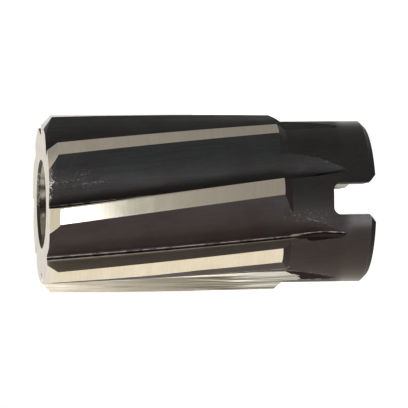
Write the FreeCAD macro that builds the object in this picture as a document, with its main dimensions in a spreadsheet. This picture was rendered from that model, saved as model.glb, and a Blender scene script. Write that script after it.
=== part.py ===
import FreeCAD, Part
import math
import os
import Sketcher

# Shell reamer, one piece of tool steel. Millimetres and degrees. It stands on its slotted end:
# +Z runs to the cutting end, and the origin is on the axis at the slotted face.
SIZES = {
    "cutting_diameter": 24.5,
    "overall_length": 45.0,
    "cutting_length": 32.0,
    "lead_bevel": 1.35,
    "back_bevel": 1.3,
    "shank_step": 1.05,
    "end_chamfer": 0.75,
    "tooth_count": 8,
    "uneven_pitch": 2.0,
    "first_tooth_angle": -95.4,
    "helix_angle": 7.15,
    "flute_depth": 2.75,
    "flute_angle": 35.65,
    "root_width": 0.4,
    "root_rise": 0.35,
    "knee_angle": 19.5,
    "knee_depth": 0.95,
    "knee_round": 6.0,
    "flute_overrun": 0.6,
    "cutter_radius": 23.0,
    "margin_width": 0.15,
    "relief_angle": 6.0,
    "bore_diameter": 13.0,
    "taper_ratio": 30.0,
    "bore_chamfer": 0.4,
    "slot_width": 4.3,
    "slot_depth": 6.0,
    "slot_corner": 1.0,
    "slot_chamfer": 1.1,
    "cut_clearance": 1.5,
}

# Shifts of the pitch from one tooth to the next, in shares of uneven_pitch. They add up to
# nothing over the full turn.
PITCH_PATTERN = (0.25, 0.4, -0.4, -0.9, -0.9, -0.4, 1.15, 0.8)

TIP = "Sizes.cutting_diameter / 2"
PLAIN = f"({TIP} - Sizes.shank_step)"
ROOT = f"({TIP} - Sizes.flute_depth)"
OUTSIDE = f"{TIP} + Sizes.cut_clearance"
LAND_END = "Sizes.overall_length - Sizes.cutting_length"
BEVEL_END = f"{LAND_END} - Sizes.back_bevel"
# Height where the flutes have their full depth for the last time, and the way a tooth has
# turned there: the helix is left-handed, so it turns forwards on its way down to the shank.
FLUTE_LENGTH = "(Sizes.cutting_length + Sizes.flute_overrun)"
RUNOUT_START = f"Sizes.overall_length - {FLUTE_LENGTH}"
LEAD = "pi * Sizes.cutting_diameter / tan(Sizes.helix_angle * 1deg)"
RUNOUT_TURN = f"Sizes.first_tooth_angle + 360 * {FLUTE_LENGTH} / ({LEAD})"


def make_sheet(doc):
    sheet = doc.addObject("Spreadsheet::Sheet", "Sizes")
    for row, (name, value) in enumerate(SIZES.items(), start=1):
        sheet.set(f"A{row}", name)
        sheet.set(f"B{row}", str(value))
        sheet.setAlias(f"B{row}", name)
    doc.recompute()


def evaluate(text):
    """The number that an expression on the sheet gives."""
    result = body.evalExpression(text)
    return getattr(result, "Value", result)


def origin_part(role):
    return next(part for part in body.Origin.OriginFeatures if part.Role == role)


def add_sketch(name, plane_role, offset=None):
    """A sketch on one of the body's own planes, shifted and turned by an expression."""
    sketch = body.newObject("Sketcher::SketchObject", name)
    sketch.AttachmentSupport = [(origin_part(plane_role), "")]
    sketch.MapMode = "FlatFace"
    if offset:
        sketch.setExpression("AttachmentOffset", offset)
    return sketch


def bind(sketch, kind, refs, name, expression):
    """Add a driving dimension and tie it to the sheet."""
    index = sketch.addConstraint(Sketcher.Constraint(kind, *refs, evaluate(expression)))
    sketch.renameConstraint(index, name)
    sketch.setExpression(f"Constraints.{name}", expression)


def relate(sketch, *relations):
    for relation in relations:
        sketch.addConstraint(Sketcher.Constraint(*relation))


def outline(sketch, corners):
    """A closed chain of lines through named corners, each placed by two expressions."""
    points = [FreeCAD.Vector(evaluate(x), evaluate(y), 0) for _, x, y in corners]
    count = len(points)
    for k in range(count):
        sketch.addGeometry(Part.LineSegment(points[k], points[(k + 1) % count]), False)
    for k, (name, x, y) in enumerate(corners):
        relate(sketch, ("Coincident", (k - 1) % count, 2, k, 1))
        place(sketch, (k, 1), name, x, y)


def place(sketch, point, name, x, y):
    """Tie a point to its two coordinates, or to an axis of the sketch where one of them is zero."""
    for kind, text, axis in (("DistanceX", x, -2), ("DistanceY", y, -1)):
        if text == "0":
            relate(sketch, ("PointOnObject", *point, axis))
        else:
            bind(sketch, kind, (-1, 1, *point), f"{name}_{kind[-1].lower()}", text)


def turn(kind, name, sketch, axis, angle="360"):
    feature = body.newObject(kind, name)
    feature.Profile = sketch
    feature.ReferenceAxis = (sketch, [axis])
    feature.setExpression("Angle", angle)
    return feature


def blank():
    """The turned blank: lead bevel, cutting part, bevel behind the teeth, plain end, end chamfer."""
    sketch = add_sketch("BlankSection", "XZ_Plane")
    outline(
        sketch,
        (
            ("centre_low", "0", "0"),
            ("foot", f"{PLAIN} - Sizes.end_chamfer", "0"),
            ("plain_low", PLAIN, "Sizes.end_chamfer"),
            ("plain_high", PLAIN, BEVEL_END),
            ("land_low", TIP, LAND_END),
            ("land_high", TIP, "Sizes.overall_length - Sizes.lead_bevel"),
            ("face_rim", f"{TIP} - Sizes.lead_bevel", "Sizes.overall_length"),
            ("centre_high", "0", "Sizes.overall_length"),
        ),
    )
    return turn("PartDesign::Revolution", "Blank", sketch, "V_Axis")


def rounded_knee(low, knee, high, radius):
    """Centre and both ends of the arc that rounds the corner at the knee, from low to high."""
    down = (low - knee).normalize()
    up = (high - knee).normalize()
    half = down.getAngle(up) / 2
    reach = radius / math.tan(half)
    centre = knee + (down + up).normalize() * (radius / math.sin(half))
    return centre, knee + down * reach, knee + up * reach


def flute_section(name, offset, squeeze):
    """One flute. The rake face lies on the sketch's X axis, so it is radial. A narrow flat at the
    root leads to the steep side of the flute, which turns over the rounded knee into the tooth's
    flatter back and ends at that tooth's heel."""
    sketch = add_sketch(name, "XY_Plane", offset)

    def polar(radius, angle):
        return f"{radius} * cos({angle} * 1deg)", f"{radius} * sin({angle} * 1deg) * {squeeze}"

    heel_at = polar(TIP, "Sizes.flute_angle")
    knee_at = polar(f"({TIP} - Sizes.knee_depth)", "Sizes.knee_angle")
    deep_at = (f"sqrt({ROOT} ^ 2 - Sizes.root_width ^ 2)", "Sizes.root_width")
    foot_x = f"{deep_at[0]} + Sizes.root_rise"
    heel, knee, deep = (
        FreeCAD.Vector(evaluate(x), evaluate(y), 0) for x, y in (heel_at, knee_at, deep_at)
    )
    foot = FreeCAD.Vector(evaluate(foot_x), 0, 0)
    end = FreeCAD.Vector(evaluate(OUTSIDE), 0, 0)
    top = heel + (heel - knee).normalize() * SIZES["cut_clearance"]
    centre, low, high = rounded_knee(deep, knee, heel, SIZES["knee_round"])
    circle = Part.Circle(centre, FreeCAD.Vector(0, 0, 1), SIZES["knee_round"])
    turns = [math.atan2(point.y - centre.y, point.x - centre.x) for point in (low, high)]
    sketch.addGeometry(Part.LineSegment(foot, end), False)
    sketch.addGeometry(Part.LineSegment(end, top), False)
    sketch.addGeometry(Part.LineSegment(top, high), False)
    sketch.addGeometry(Part.ArcOfCircle(circle, *turns), False)
    sketch.addGeometry(Part.LineSegment(low, deep), False)
    sketch.addGeometry(Part.LineSegment(deep, foot), False)
    sketch.addGeometry(Part.Point(heel), True)
    sketch.addGeometry(Part.Point(knee), True)
    rake, lid, back, bend, side, flat, heel_point, knee_point = range(8)
    relate(
        sketch,
        ("PointOnObject", rake, 1, -1),
        ("PointOnObject", rake, 2, -1),
        ("Coincident", rake, 2, lid, 1),
        ("Coincident", lid, 2, back, 1),
        ("Tangent", back, 2, bend, 2),
        ("Tangent", bend, 1, side, 1),
        ("Coincident", side, 2, flat, 1),
        ("Coincident", flat, 2, rake, 1),
        ("PointOnObject", heel_point, 1, back),
        ("PointOnObject", knee_point, 1, back),
        ("PointOnObject", knee_point, 1, side),
    )
    place(sketch, (heel_point, 1), "heel", *heel_at)
    place(sketch, (knee_point, 1), "knee", *knee_at)
    place(sketch, (flat, 1), "deep", *deep_at)
    bind(sketch, "Radius", (bend,), "knee_round", "Sizes.knee_round")
    bind(sketch, "DistanceX", (-1, 1, flat, 2), "foot", foot_x)
    bind(sketch, "DistanceX", (-1, 1, rake, 2), "outside", OUTSIDE)
    bind(sketch, "Distance", (-1, 1, lid, 2), "outside_back", OUTSIDE)
    return sketch


def helical_cut(name, sketch, height):
    cut = body.newObject("PartDesign::SubtractiveHelix", name)
    cut.Profile = sketch
    cut.ReferenceAxis = (origin_part("Z_Axis"), [""])
    cut.Mode = "pitch-height-angle"
    cut.LeftHanded = True
    cut.setExpression("Pitch", LEAD)
    cut.setExpression("Height", height)
    return cut


def flute():
    """The helical flute up to the front, and the run-out that the round milling cutter leaves.
    Both start from one section, which stands square to the helix at half the flute's depth."""
    lean = f"atan(pi * ({TIP} + {ROOT}) / ({LEAD}))"
    section = flute_section(
        "FluteSection",
        f"placement(vector(0; 0; {RUNOUT_START}); rotationz({RUNOUT_TURN}) * rotationx({lean}))",
        f"cos({lean})",
    )
    axis_x = f"{ROOT} + Sizes.cutter_radius"
    axis_foot = FreeCAD.Vector(evaluate(axis_x), 0, 0)
    axis_head = axis_foot + FreeCAD.Vector(0, SIZES["root_width"], 0)
    axis = section.addGeometry(Part.LineSegment(axis_foot, axis_head), True)
    relate(section, ("PointOnObject", axis, 1, -1), ("Vertical", axis))
    bind(section, "DistanceX", (-1, 1, axis, 1), "cutter_axis", axis_x)
    bind(section, "DistanceY", (axis, 1, axis, 2), "cutter_span", "Sizes.root_width")
    helix = helical_cut("Flute", section, f"{FLUTE_LENGTH} + Sizes.cut_clearance")
    sweep = f"acos(1 - ({OUTSIDE} - {ROOT}) / Sizes.cutter_radius)"
    runout = turn("PartDesign::Groove", "Runout", section, "Axis0", sweep)
    runout.Reversed = True
    return helix, runout


def land_relief():
    """The relief ground behind the narrow round margin of each land, along the same helix. It runs
    out in the bevel behind the teeth, clear of the plain end."""
    height = f"{LAND_END} - Sizes.back_bevel - Sizes.cut_clearance"
    turned = f"Sizes.first_tooth_angle + 360 * (Sizes.overall_length - ({height})) / ({LEAD})"
    offset = f"placement(vector(0; 0; {height}); rotationz({turned}))"
    margin = f"asin(Sizes.margin_width / ({TIP}))"
    slope = f"(Sizes.relief_angle * 1deg + {margin})"
    span = "360deg / Sizes.tooth_count - Sizes.flute_angle * 1deg"
    reach = f"({TIP} * sin({span}) + Sizes.cut_clearance)"
    start_x = f"{TIP} * cos({margin})"
    sketch = add_sketch("ReliefSection", "XY_Plane", offset)
    outline(
        sketch,
        (
            ("margin", start_x, "-Sizes.margin_width"),
            ("deep", f"{start_x} - {reach} * sin({slope})", f"-Sizes.margin_width - {reach} * cos({slope})"),
            ("clear", OUTSIDE, f"-Sizes.margin_width - {reach} * cos({slope})"),
        ),
    )
    return helical_cut("LandRelief", sketch, "Sizes.overall_length")


def repeat_round(features):
    """All teeth from the first one, at a slightly uneven pitch as against chatter."""
    pattern = body.newObject("PartDesign::PolarPattern", "Teeth")
    pattern.Originals = features
    pattern.Axis = (origin_part("Z_Axis"), [""])
    pattern.Mode = "Spacing"
    pattern.setExpression("Occurrences", "Sizes.tooth_count")
    pitch = 360 / SIZES["tooth_count"]
    pattern.SpacingPattern = [pitch + SIZES["uneven_pitch"] * share for share in PITCH_PATTERN]
    body.Tip = pattern
    return pattern


def bore():
    """The taper bore for the arbor, widest at the slotted face, with a chamfer at each mouth."""
    low = "Sizes.bore_diameter / 2"
    high = f"({low} - Sizes.overall_length / Sizes.taper_ratio / 2)"
    step = "Sizes.bore_chamfer / Sizes.taper_ratio / 2"
    sketch = add_sketch("BoreSection", "XZ_Plane")
    outline(
        sketch,
        (
            ("axis_low", "0", "0"),
            ("mouth_low", f"{low} + Sizes.bore_chamfer", "0"),
            ("wall_low", f"{low} - {step}", "Sizes.bore_chamfer"),
            ("wall_high", f"{high} + {step}", "Sizes.overall_length - Sizes.bore_chamfer"),
            ("mouth_high", f"{high} + Sizes.bore_chamfer", "Sizes.overall_length"),
            ("axis_high", "0", "Sizes.overall_length"),
        ),
    )
    return turn("PartDesign::Groove", "Bore", sketch, "V_Axis")


def drive_slot():
    """The slot across the end face, which the arbor's key drives: round floor corners, open mouth."""
    half = "Sizes.slot_width / 2"
    wide = f"{half} + Sizes.slot_chamfer"
    sketch = add_sketch("SlotSection", "XZ_Plane")
    corners = (
        ("mouth_left", f"-({wide})", "0"),
        ("mouth_right", wide, "0"),
        ("wall_right", half, "Sizes.slot_chamfer"),
        ("floor_right", half, "Sizes.slot_depth"),
        ("floor_left", f"-{half}", "Sizes.slot_depth"),
        ("wall_left", f"-{half}", "Sizes.slot_chamfer"),
    )
    outline(sketch, corners)
    for line, name in ((2, "corner_right"), (3, "corner_left")):
        arc = sketch.GeometryCount
        sketch.fillet(line, 2, SIZES["slot_corner"], True, True)
        bind(sketch, "Radius", (arc,), name, "Sizes.slot_corner")
    pocket = body.newObject("PartDesign::Pocket", "DriveSlot")
    pocket.Profile = sketch
    pocket.Type = "ThroughAll"
    pocket.Midplane = True
    return pocket


def cut_smaller(features):
    """Stop if a cut took nothing away, which is how a cut that points the wrong way shows."""
    volumes = [feature.Shape.Volume for feature in features]
    for before, after, feature in zip(volumes, volumes[1:], features[1:]):
        if after >= before:
            raise RuntimeError(f"{feature.Name} cuts nothing")


def check_objects():
    for item in doc.Objects:
        if {"Invalid", "Error"} & set(item.State):
            raise RuntimeError(f"{item.Name} failed: {item.State}")
    if body.Shape.isNull() or not body.Shape.isValid() or len(body.Shape.Solids) != 1:
        raise RuntimeError(f"{body.Label} is not one valid solid")


doc = FreeCAD.newDocument("ShellReamer")
body = doc.addObject("PartDesign::Body", "Reamer")
body.Label = "shell_reamer"
make_sheet(doc)
steps = [blank(), *flute()]
steps.append(land_relief())
doc.recompute()
steps.append(repeat_round(steps[1:]))
steps.append(bore())
steps.append(drive_slot())
doc.recompute()
check_objects()
cut_smaller(steps)
os.makedirs("parts", exist_ok=True)
body.Shape.exportStep(f"parts/{body.Label}.step")
print(f"{body.Label}: {body.Shape.Volume:.0f} mm3, {len(body.Shape.Faces)} faces")
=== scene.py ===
import bpy
from math import cos, pi, radians, sin
from mathutils import Matrix, Vector

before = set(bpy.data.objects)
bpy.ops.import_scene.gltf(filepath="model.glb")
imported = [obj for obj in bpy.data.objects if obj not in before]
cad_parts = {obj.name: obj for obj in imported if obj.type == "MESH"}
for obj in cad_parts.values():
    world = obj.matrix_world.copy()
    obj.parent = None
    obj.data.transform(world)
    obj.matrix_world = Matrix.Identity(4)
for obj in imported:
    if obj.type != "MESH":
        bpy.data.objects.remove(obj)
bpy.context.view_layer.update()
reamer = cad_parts["shell_reamer"]
mm = 0.001
print("frame loaded")


# helpers for node trees: a value may be a number, a colour or another node's socket

def plug(tree, value, socket):
    if isinstance(value, bpy.types.NodeSocket):
        tree.links.new(value, socket)
    else:
        socket.default_value = value


def addNode(tree, kind, inputs=None, **settings):
    made = tree.nodes.new(kind)
    for name, value in settings.items():
        setattr(made, name, value)
    for name, value in (inputs or {}).items():
        plug(tree, value, made.inputs[name])
    return made


def calc(tree, operation, *values):
    return addNode(tree, "ShaderNodeMath", dict(enumerate(values)), operation=operation).outputs[0]


def product(tree, first, *others):
    for other in others:
        first = calc(tree, "MULTIPLY", first, other)
    return first


def over(tree, value, limit):
    return calc(tree, "GREATER_THAN", value, limit)


def under(tree, value, limit):
    return calc(tree, "LESS_THAN", value, limit)


def vectorCalc(tree, operation, *values):
    names = (0, "Scale") if operation == "SCALE" else range(len(values))
    made = addNode(tree, "ShaderNodeVectorMath", dict(zip(names, values)), operation=operation)
    return made.outputs["Value" if operation in ("DOT_PRODUCT", "LENGTH") else "Vector"]


def ramp(tree, value, low, high, toLow=0.0, toHigh=1.0):  # a smooth step between low and high
    inputs = {"Value": value, "From Min": low, "From Max": high, "To Min": toLow, "To Max": toHigh}
    return addNode(tree, "ShaderNodeMapRange", inputs, interpolation_type="SMOOTHSTEP").outputs[0]


def mixColour(tree, share, first, second, blend="MIX"):
    inputs = {0: share, 6: first, 7: second}
    return addNode(tree, "ShaderNodeMix", inputs, data_type="RGBA", blend_type=blend).outputs[2]


def mixValue(tree, share, first, second):
    return addNode(tree, "ShaderNodeMix", {0: share, 2: first, 3: second}).outputs[0]


def noise(tree, vector, scale, detail=2.0, roughness=0.5):
    inputs = {"Vector": vector, "Scale": scale, "Detail": detail, "Roughness": roughness}
    return addNode(tree, "ShaderNodeTexNoise", inputs).outputs[0]


def newGroup(name, inputs, outputs):
    tree = bpy.data.node_groups.new(name, "ShaderNodeTree")
    kinds = {"value": "NodeSocketFloat", "colour": "NodeSocketColor", "vector": "NodeSocketVector"}
    for socketName, kind in inputs:
        tree.interface.new_socket(socketName, in_out="INPUT", socket_type=kinds[kind])
    for socketName, kind in outputs:
        tree.interface.new_socket(socketName, in_out="OUTPUT", socket_type=kinds[kind])
    return tree, tree.nodes.new("NodeGroupInput").outputs, tree.nodes.new("NodeGroupOutput").inputs


def placeGroup(tree, group, inputs=None):
    made = tree.nodes.new("ShaderNodeGroup")
    made.node_tree = group
    for name, value in (inputs or {}).items():
        plug(tree, value, made.inputs[name])
    return made.outputs


# which surface is which, told from its place and the way it faces

reamerShape = {
    "length": 45.0 * mm,
    "faceFrom": 44.9 * mm,
    "faceUp": 0.95,               # how nearly the front face looks along the axis
    "tipRadius": 12.25 * mm,
    "landRadius": 11.85 * mm,     # whatever faces nearly straight out beyond this is a land
    "landFacing": 0.962,
    "landEnd": 13.0 * mm,
    "leadRadius": 10.0 * mm,      # the lead bevel lies outside this
    "leadUp": (0.5, 0.9),
    "bevelUp": -0.4,              # the bevel behind each land faces further down than this
    "boreRadius": 7.2 * mm,       # the bore with its chamfers lies inside this
    "boreFacing": -0.85,
    "plainRadius": 11.2 * mm,
    "turnedRadius": 11.15 * mm,   # the plain end has its turned surface outside this
    "rakeFacing": 0.88,
    "grindEnd": 6.7 * mm,         # the rake is ground bright down to here at the plain radius,
    "grindRise": 3.0,             # stops this much earlier for each step towards the root
    "grindLeast": 8.7 * mm,       # and nowhere goes further down than this
    "outerFrom": 165.0,           # the flute that begins beyond this many degrees was ground
    "outerFoot": 0.12,            # coarsely, and a little deeper, by so many mm
    "outerHighlight": 24.5,            # a thin painted highlight runs along it here, in degrees past its rake,
    "outerWidth": (0.55, 0.15, 0.0, 0.6),
    "outerFade": (26.0 * mm, 18.0 * mm),    # and sets in between these heights
    "outerRim": (11.06 * mm, 11.14 * mm, 0.0, 0.8),   # another runs along the rim of its run-out
    "caughtFrom": 118.0 * mm,     # where the wheel caught the edge above it: this height at its rake,
    "caughtFall": -2.6 * mm,      # and so much lower for each degree past it,
    "caughtTurn": (33.0, 35.95),  # between these degrees
    "caughtRadius": 10.6 * mm,
    "runOutFrom": 2.5 * mm,
    "runOutRadius": 11.17 * mm,
    "runOutHighlight": (0.28 * mm, 0.75 * mm),   # how far the painted highlight leaves the rake in the run-out,
    "runOutTurn": (11.5 * mm, 7.0 * mm),    # between these heights
    "runOutWidth": (0.12 * mm, 0.04 * mm),
    "runOutSide": (-7.0 * mm, -1.0 * mm),   # it is there on one side only
    "runOutShadeBand": 0.25 * mm,      # the band of painted shade is so much nearer to the rake
    "bandWidth": (0.15 * mm, 0.08 * mm),
    "bandSide": (0.12 * mm, 0.22 * mm),
    "grindFray": 1.6 * mm,        # the grinding wheel's uneven end
    "helixTurn": radians(0.587) / mm,
    # where each tooth's rake stands at the cutting end, in degrees round the axis
    "rakes": (-189.3, -142.0, -95.4, -49.9, -4.1, 40.1, 83.3, 126.5, 170.7),
    "heelTurn": 35.65,            # degrees from a rake to the heel of the tooth before it
    "leadTurn": 5.4 / mm,         # the lead is ground so many degrees further for each step inwards
    "rakeFoot": 9.84 * mm,        # where the rake ends in the narrow root
    "footRound": 0.61 * mm,       # the wheel left the foot of the rake a little rounded
    "footDepth": 0.7,
    "milledFrom": 11.5 * mm,      # the root keeps its full depth above this height
    "rootSide": (-0.1 * mm, 0.6 * mm),
    "rootSlope": -1.5,
    # in mm from the foot: where the band of painted shade across the root fades in and out, and the thin
    # painted highlights on both sides of it with their widths
    "rootShadeBand": (-0.36, -0.24, 0.05, 0.15),
    "rootHighlights": ((-0.50, 0.16), (0.22, 0.09)),
}


def buildSurfaceMap():
    shape = reamerShape
    outputs = [(name, "value") for name in ("Face", "Lead", "Land", "Rake", "Bore", "Root Shade", "Lines",
                                            "Turned", "Pale", "Foot", "Outer", "Height")]
    outputs += [("Along", "vector"), ("Around", "vector")]
    tree, _, out = newGroup("surfaceMap", [], outputs)
    place = addNode(tree, "ShaderNodeTexCoord").outputs["Object"]
    facing = addNode(tree, "ShaderNodeNewGeometry").outputs["True Normal"]
    facing = addNode(tree, "ShaderNodeVectorTransform", {0: facing}, vector_type="NORMAL",
                     convert_from="WORLD", convert_to="OBJECT").outputs[0]
    flat = vectorCalc(tree, "MULTIPLY", place, (1, 1, 0))
    outward = vectorCalc(tree, "NORMALIZE", flat)
    radius = vectorCalc(tree, "LENGTH", flat)
    height = addNode(tree, "ShaderNodeSeparateXYZ", {0: place}).outputs[2]
    up = addNode(tree, "ShaderNodeSeparateXYZ", {0: facing}).outputs[2]
    facesOut = vectorCalc(tree, "DOT_PRODUCT", facing, outward)
    sideways = vectorCalc(tree, "CROSS_PRODUCT", (0, 0, 1), outward)
    facesSide = vectorCalc(tree, "DOT_PRODUCT", facing, sideways)
    # turning the helix back makes the flutes straight, so marks along them are long in z
    turnBack = calc(tree, "MULTIPLY", calc(tree, "SUBTRACT", height, shape["length"]), shape["helixTurn"])
    straight = addNode(tree, "ShaderNodeVectorRotate", {"Vector": place, "Angle": turnBack},
                       rotation_type="Z_AXIS").outputs[0]
    along = vectorCalc(tree, "MULTIPLY", straight, (1, 1, 0.05))
    fray = calc(tree, "MULTIPLY", noise(tree, along, 3000.0, 2.0), shape["grindFray"])
    depth = calc(tree, "SUBTRACT", shape["plainRadius"], radius)
    wheelEnd = calc(tree, "MULTIPLY_ADD", depth, shape["grindRise"], shape["grindEnd"])
    wheelEnd = calc(tree, "MAXIMUM", wheelEnd, shape["grindLeast"])
    outside = over(tree, radius, shape["boreRadius"])
    # degrees past the rake that the point's own flute begins with
    sides = addNode(tree, "ShaderNodeSeparateXYZ", {0: straight}).outputs
    turned = calc(tree, "DEGREES", calc(tree, "ARCTAN2", sides[1], sides[0]))
    start = shape["rakes"][0]
    for before, after in zip(shape["rakes"], shape["rakes"][1:]):
        start = calc(tree, "MULTIPLY_ADD", over(tree, turned, after - 1), after - before, start)
    past = calc(tree, "SUBTRACT", turned, start)
    pastTurn = calc(tree, "RADIANS", past)
    outwards = calc(tree, "MULTIPLY", radius, calc(tree, "COSINE", pastTurn))
    aside = calc(tree, "MULTIPLY", radius, calc(tree, "SINE", pastTurn))
    # from the rake down over its foot and across the root this falls steadily, in mm
    fromFoot = calc(tree, "SUBTRACT", outwards, shape["rakeFoot"])
    fromFoot = calc(tree, "MULTIPLY_ADD", aside, shape["rootSlope"], fromFoot)
    fromFoot = calc(tree, "MULTIPLY", fromFoot, 1 / mm)
    leadEnd = calc(tree, "MULTIPLY_ADD", radius, shape["leadTurn"],
                   shape["heelTurn"] - shape["tipRadius"] * shape["leadTurn"])
    outer = over(tree, calc(tree, "ABSOLUTE", start), shape["outerFrom"])
    fromFoot = calc(tree, "MULTIPLY_ADD", outer, shape["outerFoot"], fromFoot)
    cutAway = product(tree, over(tree, past, 1.0), under(tree, past, leadEnd), under(tree, outer, 0.5))
    milled = over(tree, height, shape["milledFrom"])
    nearRoot = product(tree, milled, over(tree, aside, shape["rootSide"][0]),
                       under(tree, aside, shape["rootSide"][1]))
    # painted shade: a dark band across the narrow root
    band = product(tree, ramp(tree, fromFoot, *shape["rootShadeBand"][:2]),
                   ramp(tree, fromFoot, *shape["rootShadeBand"][:1:-1]), nearRoot)
    # painted highlights: thin pale lines along both edges of the root
    lines = 0.0
    for middle, wide in shape["rootHighlights"]:
        away = calc(tree, "ABSOLUTE", calc(tree, "SUBTRACT", fromFoot, middle))
        lines = calc(tree, "MAXIMUM", lines, ramp(tree, away, wide, 0.3 * wide))
    # in the run-out both go on, a little way from the rake, up to the plain end
    runOut = product(tree, under(tree, milled, 0.5), outside, over(tree, height, shape["runOutFrom"]),
                     under(tree, radius, shape["runOutRadius"]))
    lineAside = ramp(tree, height, *shape["runOutTurn"], *shape["runOutHighlight"])
    away = calc(tree, "ABSOLUTE", calc(tree, "SUBTRACT", aside, lineAside))
    across = addNode(tree, "ShaderNodeSeparateXYZ", {0: place}).outputs[0]
    lines = calc(tree, "MAXIMUM", calc(tree, "MULTIPLY", lines, nearRoot),
                 product(tree, runOut, ramp(tree, away, *shape["runOutWidth"]),
                         over(tree, across, shape["runOutSide"][0]),
                         under(tree, across, shape["runOutSide"][1])))
    away = calc(tree, "ABSOLUTE", calc(tree, "SUBTRACT", past, shape["outerHighlight"]))
    lines = calc(tree, "MAXIMUM", lines,
                 product(tree, outer, milled, ramp(tree, height, *shape["outerFade"]), outside,
                         ramp(tree, away, *shape["outerWidth"])))
    lines = calc(tree, "MAXIMUM", lines,
                 product(tree, outer, runOut, ramp(tree, radius, *shape["outerRim"])))
    # painted shade: the dark band goes on in the run-out, beside the painted highlight
    away = calc(tree, "ADD", calc(tree, "SUBTRACT", aside, lineAside), shape["runOutShadeBand"])
    away = calc(tree, "ABSOLUTE", away)
    band = calc(tree, "MAXIMUM", band,
                product(tree, runOut, ramp(tree, away, *shape["bandWidth"]),
                        ramp(tree, aside, *shape["bandSide"])))
    # at the cutting end the wheel also caught the edge behind the tooth before the outer one
    caughtFrom = calc(tree, "MULTIPLY_ADD", past, shape["caughtFall"], shape["caughtFrom"])
    caught = product(tree, outer, over(tree, past, shape["caughtTurn"][0]),
                     under(tree, past, shape["caughtTurn"][1]),
                     over(tree, height, caughtFrom), over(tree, radius, shape["caughtRadius"]))
    ground = product(tree, over(tree, facesSide, shape["rakeFacing"]), outside)
    wheel = over(tree, height, calc(tree, "ADD", wheelEnd, fray))
    masks = {
        "Face": product(tree, over(tree, up, shape["faceUp"]), over(tree, height, shape["faceFrom"])),
        "Lead": calc(tree, "MAXIMUM", caught,
                     product(tree, over(tree, up, shape["leadUp"][0]), under(tree, up, shape["leadUp"][1]),
                             over(tree, radius, shape["leadRadius"]),
                             calc(tree, "SUBTRACT", 1.0, cutAway))),
        "Land": product(tree, over(tree, facesOut, shape["landFacing"]),
                        over(tree, radius, shape["landRadius"])),
        "Rake": product(tree, ground, wheel, calc(tree, "SUBTRACT", 1.0, band)),
        "Bore": product(tree, under(tree, facesOut, shape["boreFacing"]),
                        under(tree, radius, shape["boreRadius"])),
        "Root Shade": band,
        "Outer": outer,
        "Lines": lines,
        "Turned": product(tree, under(tree, height, shape["landEnd"]),
                          over(tree, radius, shape["turnedRadius"])),
        # the bevel behind each land, and the end of the rake that the wheel didn't reach
        "Pale": calc(tree, "MAXIMUM",
                     product(tree, under(tree, up, shape["bevelUp"]),
                             over(tree, radius, shape["plainRadius"])),
                     product(tree, ground, under(tree, wheel, 0.5))),
    }
    foot = calc(tree, "SUBTRACT", shape["rakeFoot"] + shape["footRound"], outwards)
    foot = calc(tree, "MULTIPLY", calc(tree, "MAXIMUM", foot, 0.0), 1 / mm)
    plug(tree, product(tree, foot, foot, shape["footDepth"]), out["Foot"])
    for name, mask in masks.items():
        plug(tree, mask, out[name])
    plug(tree, height, out["Height"])
    plug(tree, along, out["Along"])
    plug(tree, vectorCalc(tree, "MULTIPLY", place, (0.05, 0.05, 1)), out["Around"])
    return tree


def buildGroundSteel():  # bare steel with the fine parallel marks of a grinding wheel
    inputs = [("Marks", "vector"), ("Steel", "colour"), ("Dull Steel", "colour"), ("Fineness", "value"),
              ("Contrast", "value"), ("Base Roughness", "value")]
    outputs = [("Colour", "colour"), ("Roughness", "value"), ("Relief", "value")]
    tree, into, out = newGroup("groundSteel", inputs, outputs)
    place = addNode(tree, "ShaderNodeTexCoord").outputs["Object"]
    fine = noise(tree, into["Marks"], into["Fineness"], 3.0, 0.65)
    broad = noise(tree, into["Marks"], calc(tree, "MULTIPLY", into["Fineness"], 0.22), 2.0)
    cloud = noise(tree, place, 420.0, 3.0, 0.6)
    lines = ramp(tree, mixValue(tree, 0.45, fine, broad), 0.36, 0.64)
    shade = calc(tree, "MULTIPLY", lines, into["Contrast"])
    shade = calc(tree, "ADD", shade, ramp(tree, cloud, 0.4, 0.66, 0.0, 0.16))
    plug(tree, mixColour(tree, shade, into["Steel"], into["Dull Steel"]), out["Colour"])
    uneven = ramp(tree, mixValue(tree, 0.5, broad, cloud), 0.3, 0.7, -0.035, 0.05)
    plug(tree, calc(tree, "ADD", into["Base Roughness"], uneven), out["Roughness"])
    plug(tree, fine, out["Relief"])
    return tree


blackOxide = {
    "cool": (0.0300, 0.0370, 0.0440, 1),
    "warm": (0.0250, 0.0135, 0.0145, 1),
    # the darkest oxide, for its streaks, and the painted shade in the narrow root
    "deep": (0.0050, 0.0050, 0.0055, 1),
    "pale": (0.0350, 0.0270, 0.0285, 1),
    "tint": (0.97, 0.93, 1.0, 1),      # the film gives its gloss a slight violet cast
    "turnedShare": 0.6,                # how much of the colour the smoother plain end keeps
    "milled": 0.54,                    # roughness in the flutes
    "turned": (0.22, 0.50),            # on the polished jaws, and further up the plain end
    "jawEnd": (3.0 * mm, 5.0 * mm),
    "streaks": 3600.0,
    "clouds": 230.0,
    "grain": 5200.0,
    "paintedWarmSide": (5.0 * mm, -4.0 * mm, 0.0, 0.75),   # a painted warm reflection makes one long side a little browner
    "paintedPaleSide": (7.0 * mm, 10.0 * mm, 1.0, 1.35),    # and a painted sheen makes the other a little paler
}


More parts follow.
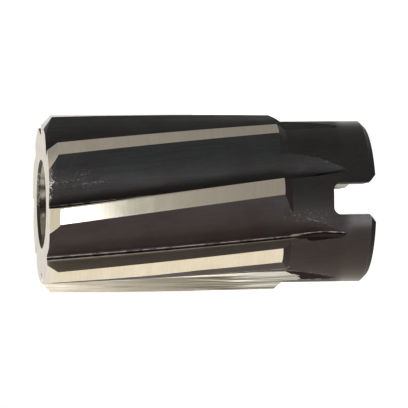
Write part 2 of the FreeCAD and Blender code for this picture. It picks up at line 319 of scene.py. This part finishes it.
def buildBlackOxide():
    outputs = [("Colour", "colour"), ("Roughness", "value"), ("Relief", "value")]
    tree, into, out = newGroup("blackOxide", [("Along", "vector"), ("Turned", "value")], outputs)
    place = addNode(tree, "ShaderNodeTexCoord").outputs["Object"]
    upward = addNode(tree, "ShaderNodeSeparateXYZ", {0: place}).outputs[0]
    cloud = noise(tree, place, blackOxide["clouds"], 4.0, 0.6)
    # the browner side is a painted warm reflection; the clouds on it are the film's own uneven colour
    warmShare = calc(tree, "ADD", ramp(tree, upward, *blackOxide["paintedWarmSide"]),
                   ramp(tree, cloud, 0.4, 0.7, 0.0, 0.35))
    colour = mixColour(tree, warmShare, blackOxide["cool"], blackOxide["warm"])
    streak = noise(tree, into["Along"], blackOxide["streaks"], 4.0, 0.7)
    grain = noise(tree, place, blackOxide["grain"], 2.0, 0.6)
    colour = mixColour(tree, ramp(tree, streak, 0.36, 0.68, 0.0, 0.35), colour, blackOxide["deep"])
    kept = mixValue(tree, into["Turned"], 1.0, blackOxide["turnedShare"])
    # painted sheen: the paler side
    kept = calc(tree, "MULTIPLY", kept, ramp(tree, upward, *blackOxide["paintedPaleSide"]))
    plug(tree, vectorCalc(tree, "SCALE", colour, kept), out["Colour"])
    uneven = ramp(tree, mixValue(tree, 0.5, streak, cloud), 0.3, 0.7, -0.05, 0.07)
    height = addNode(tree, "ShaderNodeSeparateXYZ", {0: place}).outputs[2]
    rough = ramp(tree, height, *blackOxide["jawEnd"], *blackOxide["turned"])
    rough = mixValue(tree, into["Turned"], blackOxide["milled"], rough)
    plug(tree, calc(tree, "ADD", rough, uneven), out["Roughness"])
    plug(tree, mixValue(tree, 0.4, streak, grain), out["Relief"])
    return tree


wornPlaces = [  # centre of the worn place, its reach, how thick its sparks are, how bare its edges
    (Vector((3.2, -10.4, 41.5)) * mm, 5.4 * mm, 1.0, 0.4),   # front of the flute facing the camera
    (Vector((-2.5, -10.8, 9.6)) * mm, 4.0 * mm, 0.9, 0.7),   # where the cutter left the next flute
    (Vector((5.2, -9.8, 7.0)) * mm, 3.2 * mm, 0.6, 0.3),
    (Vector((-9.8, -5.5, 6.4)) * mm, 3.6 * mm, 0.2, 2.5),
]
bareSpecks = {
    "squeeze": (2.0, 1, 0.6),     # the worn places are narrow and long
    "torn": 1900.0,
    "tornDepth": 1.4 * mm,
    "tornFrom": (44.9 * mm, 45.6 * mm),
    "tornSide": (-0.6, 0.4, 4.3, 5.2),   # mm across the tool, where the rim of one flute is torn
    "grain": 8600.0,
    "rows": 2300.0,               # the sparks follow the cutter's lines
    "rowShare": (0.35, 0.7, 0.0, 0.13),
    "limits": (0.84, 0.64),       # from hardly any sparks to a thick spread of them
    "rimLimit": 0.42,
    "strength": (0.0, 0.5, 0.28, 1.0),   # they are brighter on the torn rim
}


def buildSpecks():  # short bright sparks of bare steel, dense in the worn places
    tree, into, out = newGroup("bareSpecks", [("Along", "vector"), ("Height", "value")],
                               [("Specks", "value"), ("Worn", "value")])
    place = addNode(tree, "ShaderNodeTexCoord").outputs["Object"]
    thick, edges = 0.0, 0.0
    for centre, reach, sparks, bareEdge in wornPlaces:
        away = vectorCalc(tree, "SUBTRACT", place, tuple(centre))
        away = vectorCalc(tree, "LENGTH", vectorCalc(tree, "MULTIPLY", away, bareSpecks["squeeze"]))
        near = ramp(tree, away, reach, 0.2 * reach)
        thick = calc(tree, "MAXIMUM", thick, calc(tree, "MULTIPLY", near, sparks))
        edges = calc(tree, "MAXIMUM", edges, calc(tree, "MULTIPLY", near, bareEdge))
    # the milling cutter left the rim at the cutting end torn and bright
    torn = noise(tree, place, bareSpecks["torn"], 2.0, 0.6)
    rim = calc(tree, "MULTIPLY_ADD", torn, bareSpecks["tornDepth"], into["Height"])
    across = addNode(tree, "ShaderNodeSeparateXYZ", {0: place}).outputs[0]
    across = calc(tree, "MULTIPLY", across, 1 / mm)
    rim = product(tree, ramp(tree, rim, *bareSpecks["tornFrom"]),
                  ramp(tree, across, *bareSpecks["tornSide"][:2]),
                  ramp(tree, across, *bareSpecks["tornSide"][:1:-1]))
    grain = vectorCalc(tree, "MULTIPLY", into["Along"], (1, 1, 7))
    grain = noise(tree, grain, bareSpecks["grain"], 1.0, 0.5)
    rows = noise(tree, into["Along"], bareSpecks["rows"], 2.0, 0.5)
    limit = calc(tree, "SUBTRACT", ramp(tree, thick, 0.0, 1.0, *bareSpecks["limits"]),
                 ramp(tree, rows, *bareSpecks["rowShare"]))
    limit = mixValue(tree, rim, limit, bareSpecks["rimLimit"])
    bright = calc(tree, "SUBTRACT", grain, limit)
    strength = ramp(tree, rim, *bareSpecks["strength"])
    plug(tree, calc(tree, "MULTIPLY", ramp(tree, bright, 0.0, 0.16), strength), out["Specks"])
    plug(tree, edges, out["Worn"])
    return tree


def buildEdgeWear():  # where two surfaces meet, broken up so that a worn line isn't even
    tree, into, out = newGroup("edgeWear", [("Reach", "value"), ("Scale", "value")], [("Edges", "value")])
    place = addNode(tree, "ShaderNodeTexCoord").outputs["Object"]
    rounded = addNode(tree, "ShaderNodeBevel", {"Radius": into["Reach"]}, samples=8).outputs[0]
    flat = addNode(tree, "ShaderNodeNewGeometry").outputs["Normal"]
    bend = calc(tree, "SUBTRACT", 1.0, vectorCalc(tree, "DOT_PRODUCT", rounded, flat))
    broken = ramp(tree, noise(tree, place, into["Scale"], 3.0, 0.6), 0.42, 0.62)
    plug(tree, product(tree, ramp(tree, bend, 0.003, 0.03), broken), out["Edges"])
    return tree


# each ground surface: steel, dull steel, which way the marks run, fineness, contrast, roughness
groundFinish = {
    "Land": ((0.88, 0.855, 0.80, 1), (0.70, 0.665, 0.60, 1), "Around", 4600.0, 0.28, 0.20),
    "Lead": ((0.89, 0.865, 0.80, 1), (0.70, 0.665, 0.60, 1), "Around", 4600.0, 0.28, 0.21),
    "Face": ((0.78, 0.765, 0.64, 1), (0.61, 0.59, 0.47, 1), "Along", 3000.0, 0.30, 0.26),
    "Rake": ((0.80, 0.75, 0.65, 1), (0.52, 0.47, 0.40, 1), "Along", 2600.0, 0.45, 0.38),
    # the bore's steel is darker than the rest: painted shade of the deep bore over its ground finish
    "Bore": ((0.60, 0.555, 0.54, 1), (0.33, 0.295, 0.29, 1), "Around", 3800.0, 0.60, 0.20),
}
# bare steel where the oxide is worn, and the colours of the painted highlights and the painted sheen
wearAndPaintedLight = {
    "colour": (0.62, 0.60, 0.56, 1),
    "roughness": 0.34,
    "edgeReach": 0.22 * mm,
    "edgeScale": 1500.0,
    "oxideEdge": 0.85,            # how bare an edge of the black surfaces is in a worn place
    "edgeLeast": 0.07,            # and elsewhere, as a share of that
    "specks": 0.75,
    # the colour of the painted highlights along the roots and run-outs
    "line": (0.85, 0.80, 0.76, 1),
    "lineStrength": 0.70,
    "strandFrom": 26.0 * mm,      # the wheel left deep strands in the outer rake from here down
    "strandTo": 14.0 * mm,
    "strandDepth": 0.26,          # in mm
    "strands": 2300.0,
    "rootBreak": 900.0,           # how finely the marks along the root are broken up
    "reliefStrength": 0.3,
    "reliefDepth": 0.01 * mm,
    "paintedSheen": (0.98, 0.97, 0.90, 1),   # its end carries a painted sheen, pale and matt
    "sheenFrom": 21.0 * mm,
    "sheenTo": 14.0 * mm,
    "sheenStrength": 0.90,
    "sheenLeast": 0.03,           # a trace of it on every rake
}


# painted light on the bore's wall
boreWall = {
    "paintedShineSide": (2.4 * mm, 4.6 * mm, 0.0, 0.95),
    "slottedEnd": (9.0 * mm, 6.0 * mm),
    "ragged": 1400.0,
    "raggedDepth": 0.9 * mm,
    # centre and reach of each painted highlight spot, in mm
    "spots": (((3.3, 4.7, 44.3), 1.5), ((1.6, 5.5, 44.1), 1.4), ((-1.3, 5.6, 44.2), 0.9)),
}


def buildBorePaintedShine():  # pale matt painted light on the bore's wall: a lighter side, three painted highlights, the slotted end's painted reflection
    tree, _, out = newGroup("borePaintedShine", [], [("Painted Shine", "value")])
    place = addNode(tree, "ShaderNodeTexCoord").outputs["Object"]
    parts = addNode(tree, "ShaderNodeSeparateXYZ", {0: place}).outputs
    paintedShine = ramp(tree, parts[0], *boreWall["paintedShineSide"])
    paintedShine = calc(tree, "MAXIMUM", paintedShine, ramp(tree, parts[2], *boreWall["slottedEnd"]))
    ragged = noise(tree, place, boreWall["ragged"], 3.0, 0.6)
    ragged = calc(tree, "MULTIPLY", ragged, boreWall["raggedDepth"])
    for centre, reach in boreWall["spots"]:
        away = vectorCalc(tree, "LENGTH", vectorCalc(tree, "SUBTRACT", place, tuple(Vector(centre) * mm)))
        away = calc(tree, "ADD", away, ragged)
        paintedShine = calc(tree, "MAXIMUM", paintedShine, ramp(tree, away, reach * mm, 0.4 * reach * mm))
    plug(tree, paintedShine, out["Painted Shine"])
    return tree


def buildReamerSteel():
    material = bpy.data.materials.new("reamerSteel")
    material.use_nodes = True
    tree = material.node_tree
    shader = tree.nodes["Principled BSDF"]
    shader.inputs["Specular Tint"].default_value = blackOxide["tint"]
    surface = placeGroup(tree, buildSurfaceMap())
    oxide = placeGroup(tree, buildBlackOxide(), {"Along": surface["Along"], "Turned": surface["Turned"]})
    specks = placeGroup(tree, buildSpecks(), {"Along": surface["Along"], "Height": surface["Height"]})
    edges = placeGroup(tree, buildEdgeWear(),
                       {"Reach": wearAndPaintedLight["edgeReach"], "Scale": wearAndPaintedLight["edgeScale"]})["Edges"]
    edges = product(tree, edges, wearAndPaintedLight["oxideEdge"],
                    ramp(tree, specks["Worn"], 0.0, 1.6, wearAndPaintedLight["edgeLeast"], 1.0))
    bare = calc(tree, "MAXIMUM", calc(tree, "MULTIPLY", specks["Specks"], wearAndPaintedLight["specks"]), edges)
    bare = calc(tree, "MULTIPLY", bare, calc(tree, "SUBTRACT", 1.0, surface["Root Shade"]))
    colour = mixColour(tree, surface["Pale"], oxide["Colour"], blackOxide["pale"])
    colour = mixColour(tree, bare, colour, wearAndPaintedLight["colour"])
    rough = mixValue(tree, bare, oxide["Roughness"], wearAndPaintedLight["roughness"])
    relief, metal = oxide["Relief"], bare
    grinding = buildGroundSteel()
    for name, (steel, dull, run, fineness, contrast, roughness) in groundFinish.items():
        ground = placeGroup(tree, grinding, {
            "Marks": surface[run], "Steel": steel, "Dull Steel": dull, "Fineness": fineness,
            "Contrast": contrast, "Base Roughness": roughness})
        colour = mixColour(tree, surface[name], colour, ground["Colour"])
        rough = mixValue(tree, surface[name], rough, ground["Roughness"])
        relief = mixValue(tree, surface[name], relief, ground["Relief"])
        metal = mixValue(tree, surface[name], metal, 1.0)
    # painted sheen: a pale matt colour for the light the rougher rakes catch, and the bore's painted shine
    paintedSheen = ramp(tree, surface["Height"], wearAndPaintedLight["sheenFrom"], wearAndPaintedLight["sheenTo"],
                 0.0, wearAndPaintedLight["sheenStrength"])
    paintedSheen = calc(tree, "MAXIMUM", calc(tree, "MULTIPLY", paintedSheen, surface["Outer"]), wearAndPaintedLight["sheenLeast"])
    paintedSheen = calc(tree, "MAXIMUM", calc(tree, "MULTIPLY", paintedSheen, surface["Rake"]),
                 calc(tree, "MULTIPLY", placeGroup(tree, buildBorePaintedShine())["Painted Shine"], surface["Bore"]))
    colour = mixColour(tree, paintedSheen, colour, wearAndPaintedLight["paintedSheen"])
    metal = calc(tree, "SUBTRACT", metal, paintedSheen)
    # the narrow root is painted shade that mirrors nothing, its two edges thin painted highlights, both
    # broken up
    place = addNode(tree, "ShaderNodeTexCoord").outputs["Object"]
    broken = noise(tree, place, wearAndPaintedLight["rootBreak"], 3.0, 0.6)
    rootShade = calc(tree, "MULTIPLY", surface["Root Shade"], ramp(tree, broken, 0.36, 0.60, 1.0, 0.45))
    colour = mixColour(tree, rootShade, colour, blackOxide["deep"])
    metal = mixValue(tree, rootShade, metal, 1.0)
    # the painted highlights are pale and not metal
    lines = product(tree, surface["Lines"], ramp(tree, broken, 0.38, 0.58, 0.2, 1.0))
    lines = calc(tree, "MULTIPLY", lines, mixValue(tree, surface["Outer"], wearAndPaintedLight["lineStrength"], 1.0))
    colour = mixColour(tree, lines, colour, wearAndPaintedLight["line"])
    metal = calc(tree, "MULTIPLY", metal, calc(tree, "SUBTRACT", 1.0, lines))
    plug(tree, colour, shader.inputs["Base Color"])
    plug(tree, metal, shader.inputs["Metallic"])
    plug(tree, rough, shader.inputs["Roughness"])
    strands = noise(tree, surface["Along"], wearAndPaintedLight["strands"], 1.0, 0.5)
    strands = calc(tree, "SUBTRACT", strands, 0.5)
    deep = ramp(tree, surface["Height"], wearAndPaintedLight["strandFrom"], wearAndPaintedLight["strandTo"],
                0.1 * wearAndPaintedLight["strandDepth"], wearAndPaintedLight["strandDepth"])
    deep = calc(tree, "MULTIPLY", deep, surface["Outer"])
    hollow = product(tree, calc(tree, "MULTIPLY_ADD", strands, deep, surface["Foot"]), surface["Rake"])
    bump = addNode(tree, "ShaderNodeBump", {"Strength": 1.0, "Distance": mm, "Height": hollow})
    bump = addNode(tree, "ShaderNodeBump", {
        "Strength": wearAndPaintedLight["reliefStrength"], "Distance": wearAndPaintedLight["reliefDepth"],
        "Height": relief, "Normal": bump.outputs[0]})
    plug(tree, bump.outputs[0], shader.inputs["Normal"])
    return material


steel = buildReamerSteel()
for slot in reamer.material_slots:
    slot.material = steel
print("reamer finished")


# the light all round the bore axis: degrees from the camera's side, and the colour there
studio = {
    "around": [
        (-180, (0.90, 0.885, 0.83)), (-119, (0.93, 0.84, 0.66)), (-82, (0.93, 0.84, 0.66)),
        (-54, (0.85, 0.76, 0.68)), (-32, (0.90, 0.85, 0.75)), (-17, (0.68, 0.655, 0.54)),
        (-10, (0.42, 0.395, 0.325)), (0, (0.35, 0.32, 0.265)), (11, (0.30, 0.27, 0.23)),
        (67, (0.36, 0.33, 0.28)), (104, (0.26, 0.24, 0.21)), (134, (0.30, 0.29, 0.27)),
        (158, (0.80, 0.79, 0.75)), (180, (0.90, 0.885, 0.83)),
    ],
    "above": (0.70, 0.64, 0.50, 1),
    "below": (0.05, 0.05, 0.055, 1),
    "aboveFrom": (0.75, 0.98),    # the ends of the bore axis take over from here
    "belowFrom": (-0.45, -0.90),
    "lampTurn": radians(-27),
    "lampHalf": (radians(6), radians(13)),
    "lampLevel": -0.15,
    "lampSpread": (0.15, 0.40),
    "lampStrength": 3.2,
}


def buildWorld():
    world = bpy.data.worlds.new("studio")
    bpy.context.scene.world = world
    world.use_nodes = True
    tree = world.node_tree
    tree.nodes.clear()
    look = addNode(tree, "ShaderNodeTexCoord").outputs["Generated"]
    parts = addNode(tree, "ShaderNodeSeparateXYZ", {0: look}).outputs
    turn = calc(tree, "ARCTAN2", parts[0], calc(tree, "MULTIPLY", parts[1], -1.0))
    share = calc(tree, "MULTIPLY_ADD", turn, 1 / (2 * pi), 0.5)
    band = addNode(tree, "ShaderNodeValToRGB", {0: share})
    stops = band.color_ramp.elements
    stops.remove(stops[1])
    for index, (degrees, tone) in enumerate(studio["around"]):
        position = degrees / 360 + 0.5
        stop = stops.new(position) if index else stops[0]
        stop.position = position
        stop.color = (*tone, 1)
    aside = calc(tree, "ABSOLUTE", calc(tree, "SUBTRACT", turn, studio["lampTurn"]))
    level = calc(tree, "ABSOLUTE", calc(tree, "SUBTRACT", parts[2], studio["lampLevel"]))
    lamp = product(tree, ramp(tree, aside, *studio["lampHalf"], studio["lampStrength"], 0.0),
                   ramp(tree, level, *studio["lampSpread"], 1.0, 0.0))
    tone = mixColour(tree, ramp(tree, parts[2], *studio["aboveFrom"]), band.outputs[0], studio["above"])
    tone = mixColour(tree, ramp(tree, parts[2], *studio["belowFrom"]), tone, studio["below"])
    tone = mixColour(tree, 1.0, tone, lamp, "ADD")
    seen = addNode(tree, "ShaderNodeLightPath").outputs["Is Camera Ray"]
    light = addNode(tree, "ShaderNodeBackground",
                    {"Color": mixColour(tree, seen, tone, (1, 1, 1, 1)), "Strength": 1.0})
    addNode(tree, "ShaderNodeOutputWorld", {0: light.outputs[0]})


floorSettings = {
    "radius": 160.0 * mm,
    "corners": 96,
    "colour": (0.90, 0.90, 0.89, 1),
    "brightening": 0.93,          # what the camera sees on top of the lit floor
}


def buildFloor():
    mesh = bpy.data.meshes.new("floor")
    corners = floorSettings["corners"]
    turns = [2 * pi * k / corners for k in range(corners)]
    rim = [(floorSettings["radius"] * cos(t), floorSettings["radius"] * sin(t), 0) for t in turns]
    mesh.from_pydata(rim, [], [list(range(corners))])
    made = bpy.data.objects.new("floor", mesh)
    bpy.context.scene.collection.objects.link(made)
    material = bpy.data.materials.new("paleFloor")
    material.use_nodes = True
    tree = material.node_tree
    shader = tree.nodes["Principled BSDF"]
    shader.inputs["Base Color"].default_value = floorSettings["colour"]
    shader.inputs["Roughness"].default_value = 0.9
    shader.inputs["Specular IOR Level"].default_value = 0.0
    seen = addNode(tree, "ShaderNodeLightPath").outputs["Is Camera Ray"]
    shader.inputs["Emission Color"].default_value = (1, 1, 1, 1)
    plug(tree, calc(tree, "MULTIPLY", seen, floorSettings["brightening"]),
         shader.inputs["Emission Strength"])
    mesh.materials.append(material)
    # the world already holds what the metal mirrors below the tool
    made.visible_glossy = made.visible_diffuse = made.visible_shadow = False


buildWorld()
buildFloor()
print("studio ready")

# camera at the photograph's angle, for a picture 408 pixels wide and high
cameraPlace = {
    "aim": Vector((0.0, 0.0, 22.95 * mm)),
    "side": radians(-2.0),        # turned about the bore axis from -Y
    "rise": radians(8.575),
    "roll": radians(-0.569),
    "distance": 505.5 * mm,
    "picture": 408.0,
    "focus": 3642.0,              # focal length in pixels
    "aimPixel": (199.43, 202.64),
}


def buildCamera():
    c = cameraPlace
    towards = Vector((sin(c["side"]), -cos(c["side"]), 0))
    sideUp = Vector((cos(c["side"]), sin(c["side"]), 0))
    axis = Vector((0, 0, 1))
    back = towards * cos(c["rise"]) + axis * sin(c["rise"])
    level = towards * sin(c["rise"]) - axis * cos(c["rise"])
    right = level * cos(c["roll"]) + sideUp * sin(c["roll"])
    upward = sideUp * cos(c["roll"]) - level * sin(c["roll"])
    data = bpy.data.cameras.new("camera")
    made = bpy.data.objects.new("camera", data)
    bpy.context.scene.collection.objects.link(made)
    turned = Matrix((right, upward, back)).transposed().to_4x4()
    made.matrix_world = Matrix.Translation(c["aim"] + back * c["distance"]) @ turned
    data.lens = c["focus"] / c["picture"] * data.sensor_width
    data.shift_x = 0.5 - c["aimPixel"][0] / c["picture"]
    data.shift_y = c["aimPixel"][1] / c["picture"] - 0.5
    data.clip_start, data.clip_end = 0.01, 10.0
    bpy.context.scene.camera = made


buildCamera()
bpy.context.scene.view_settings.view_transform = "Standard"
print("camera placed")
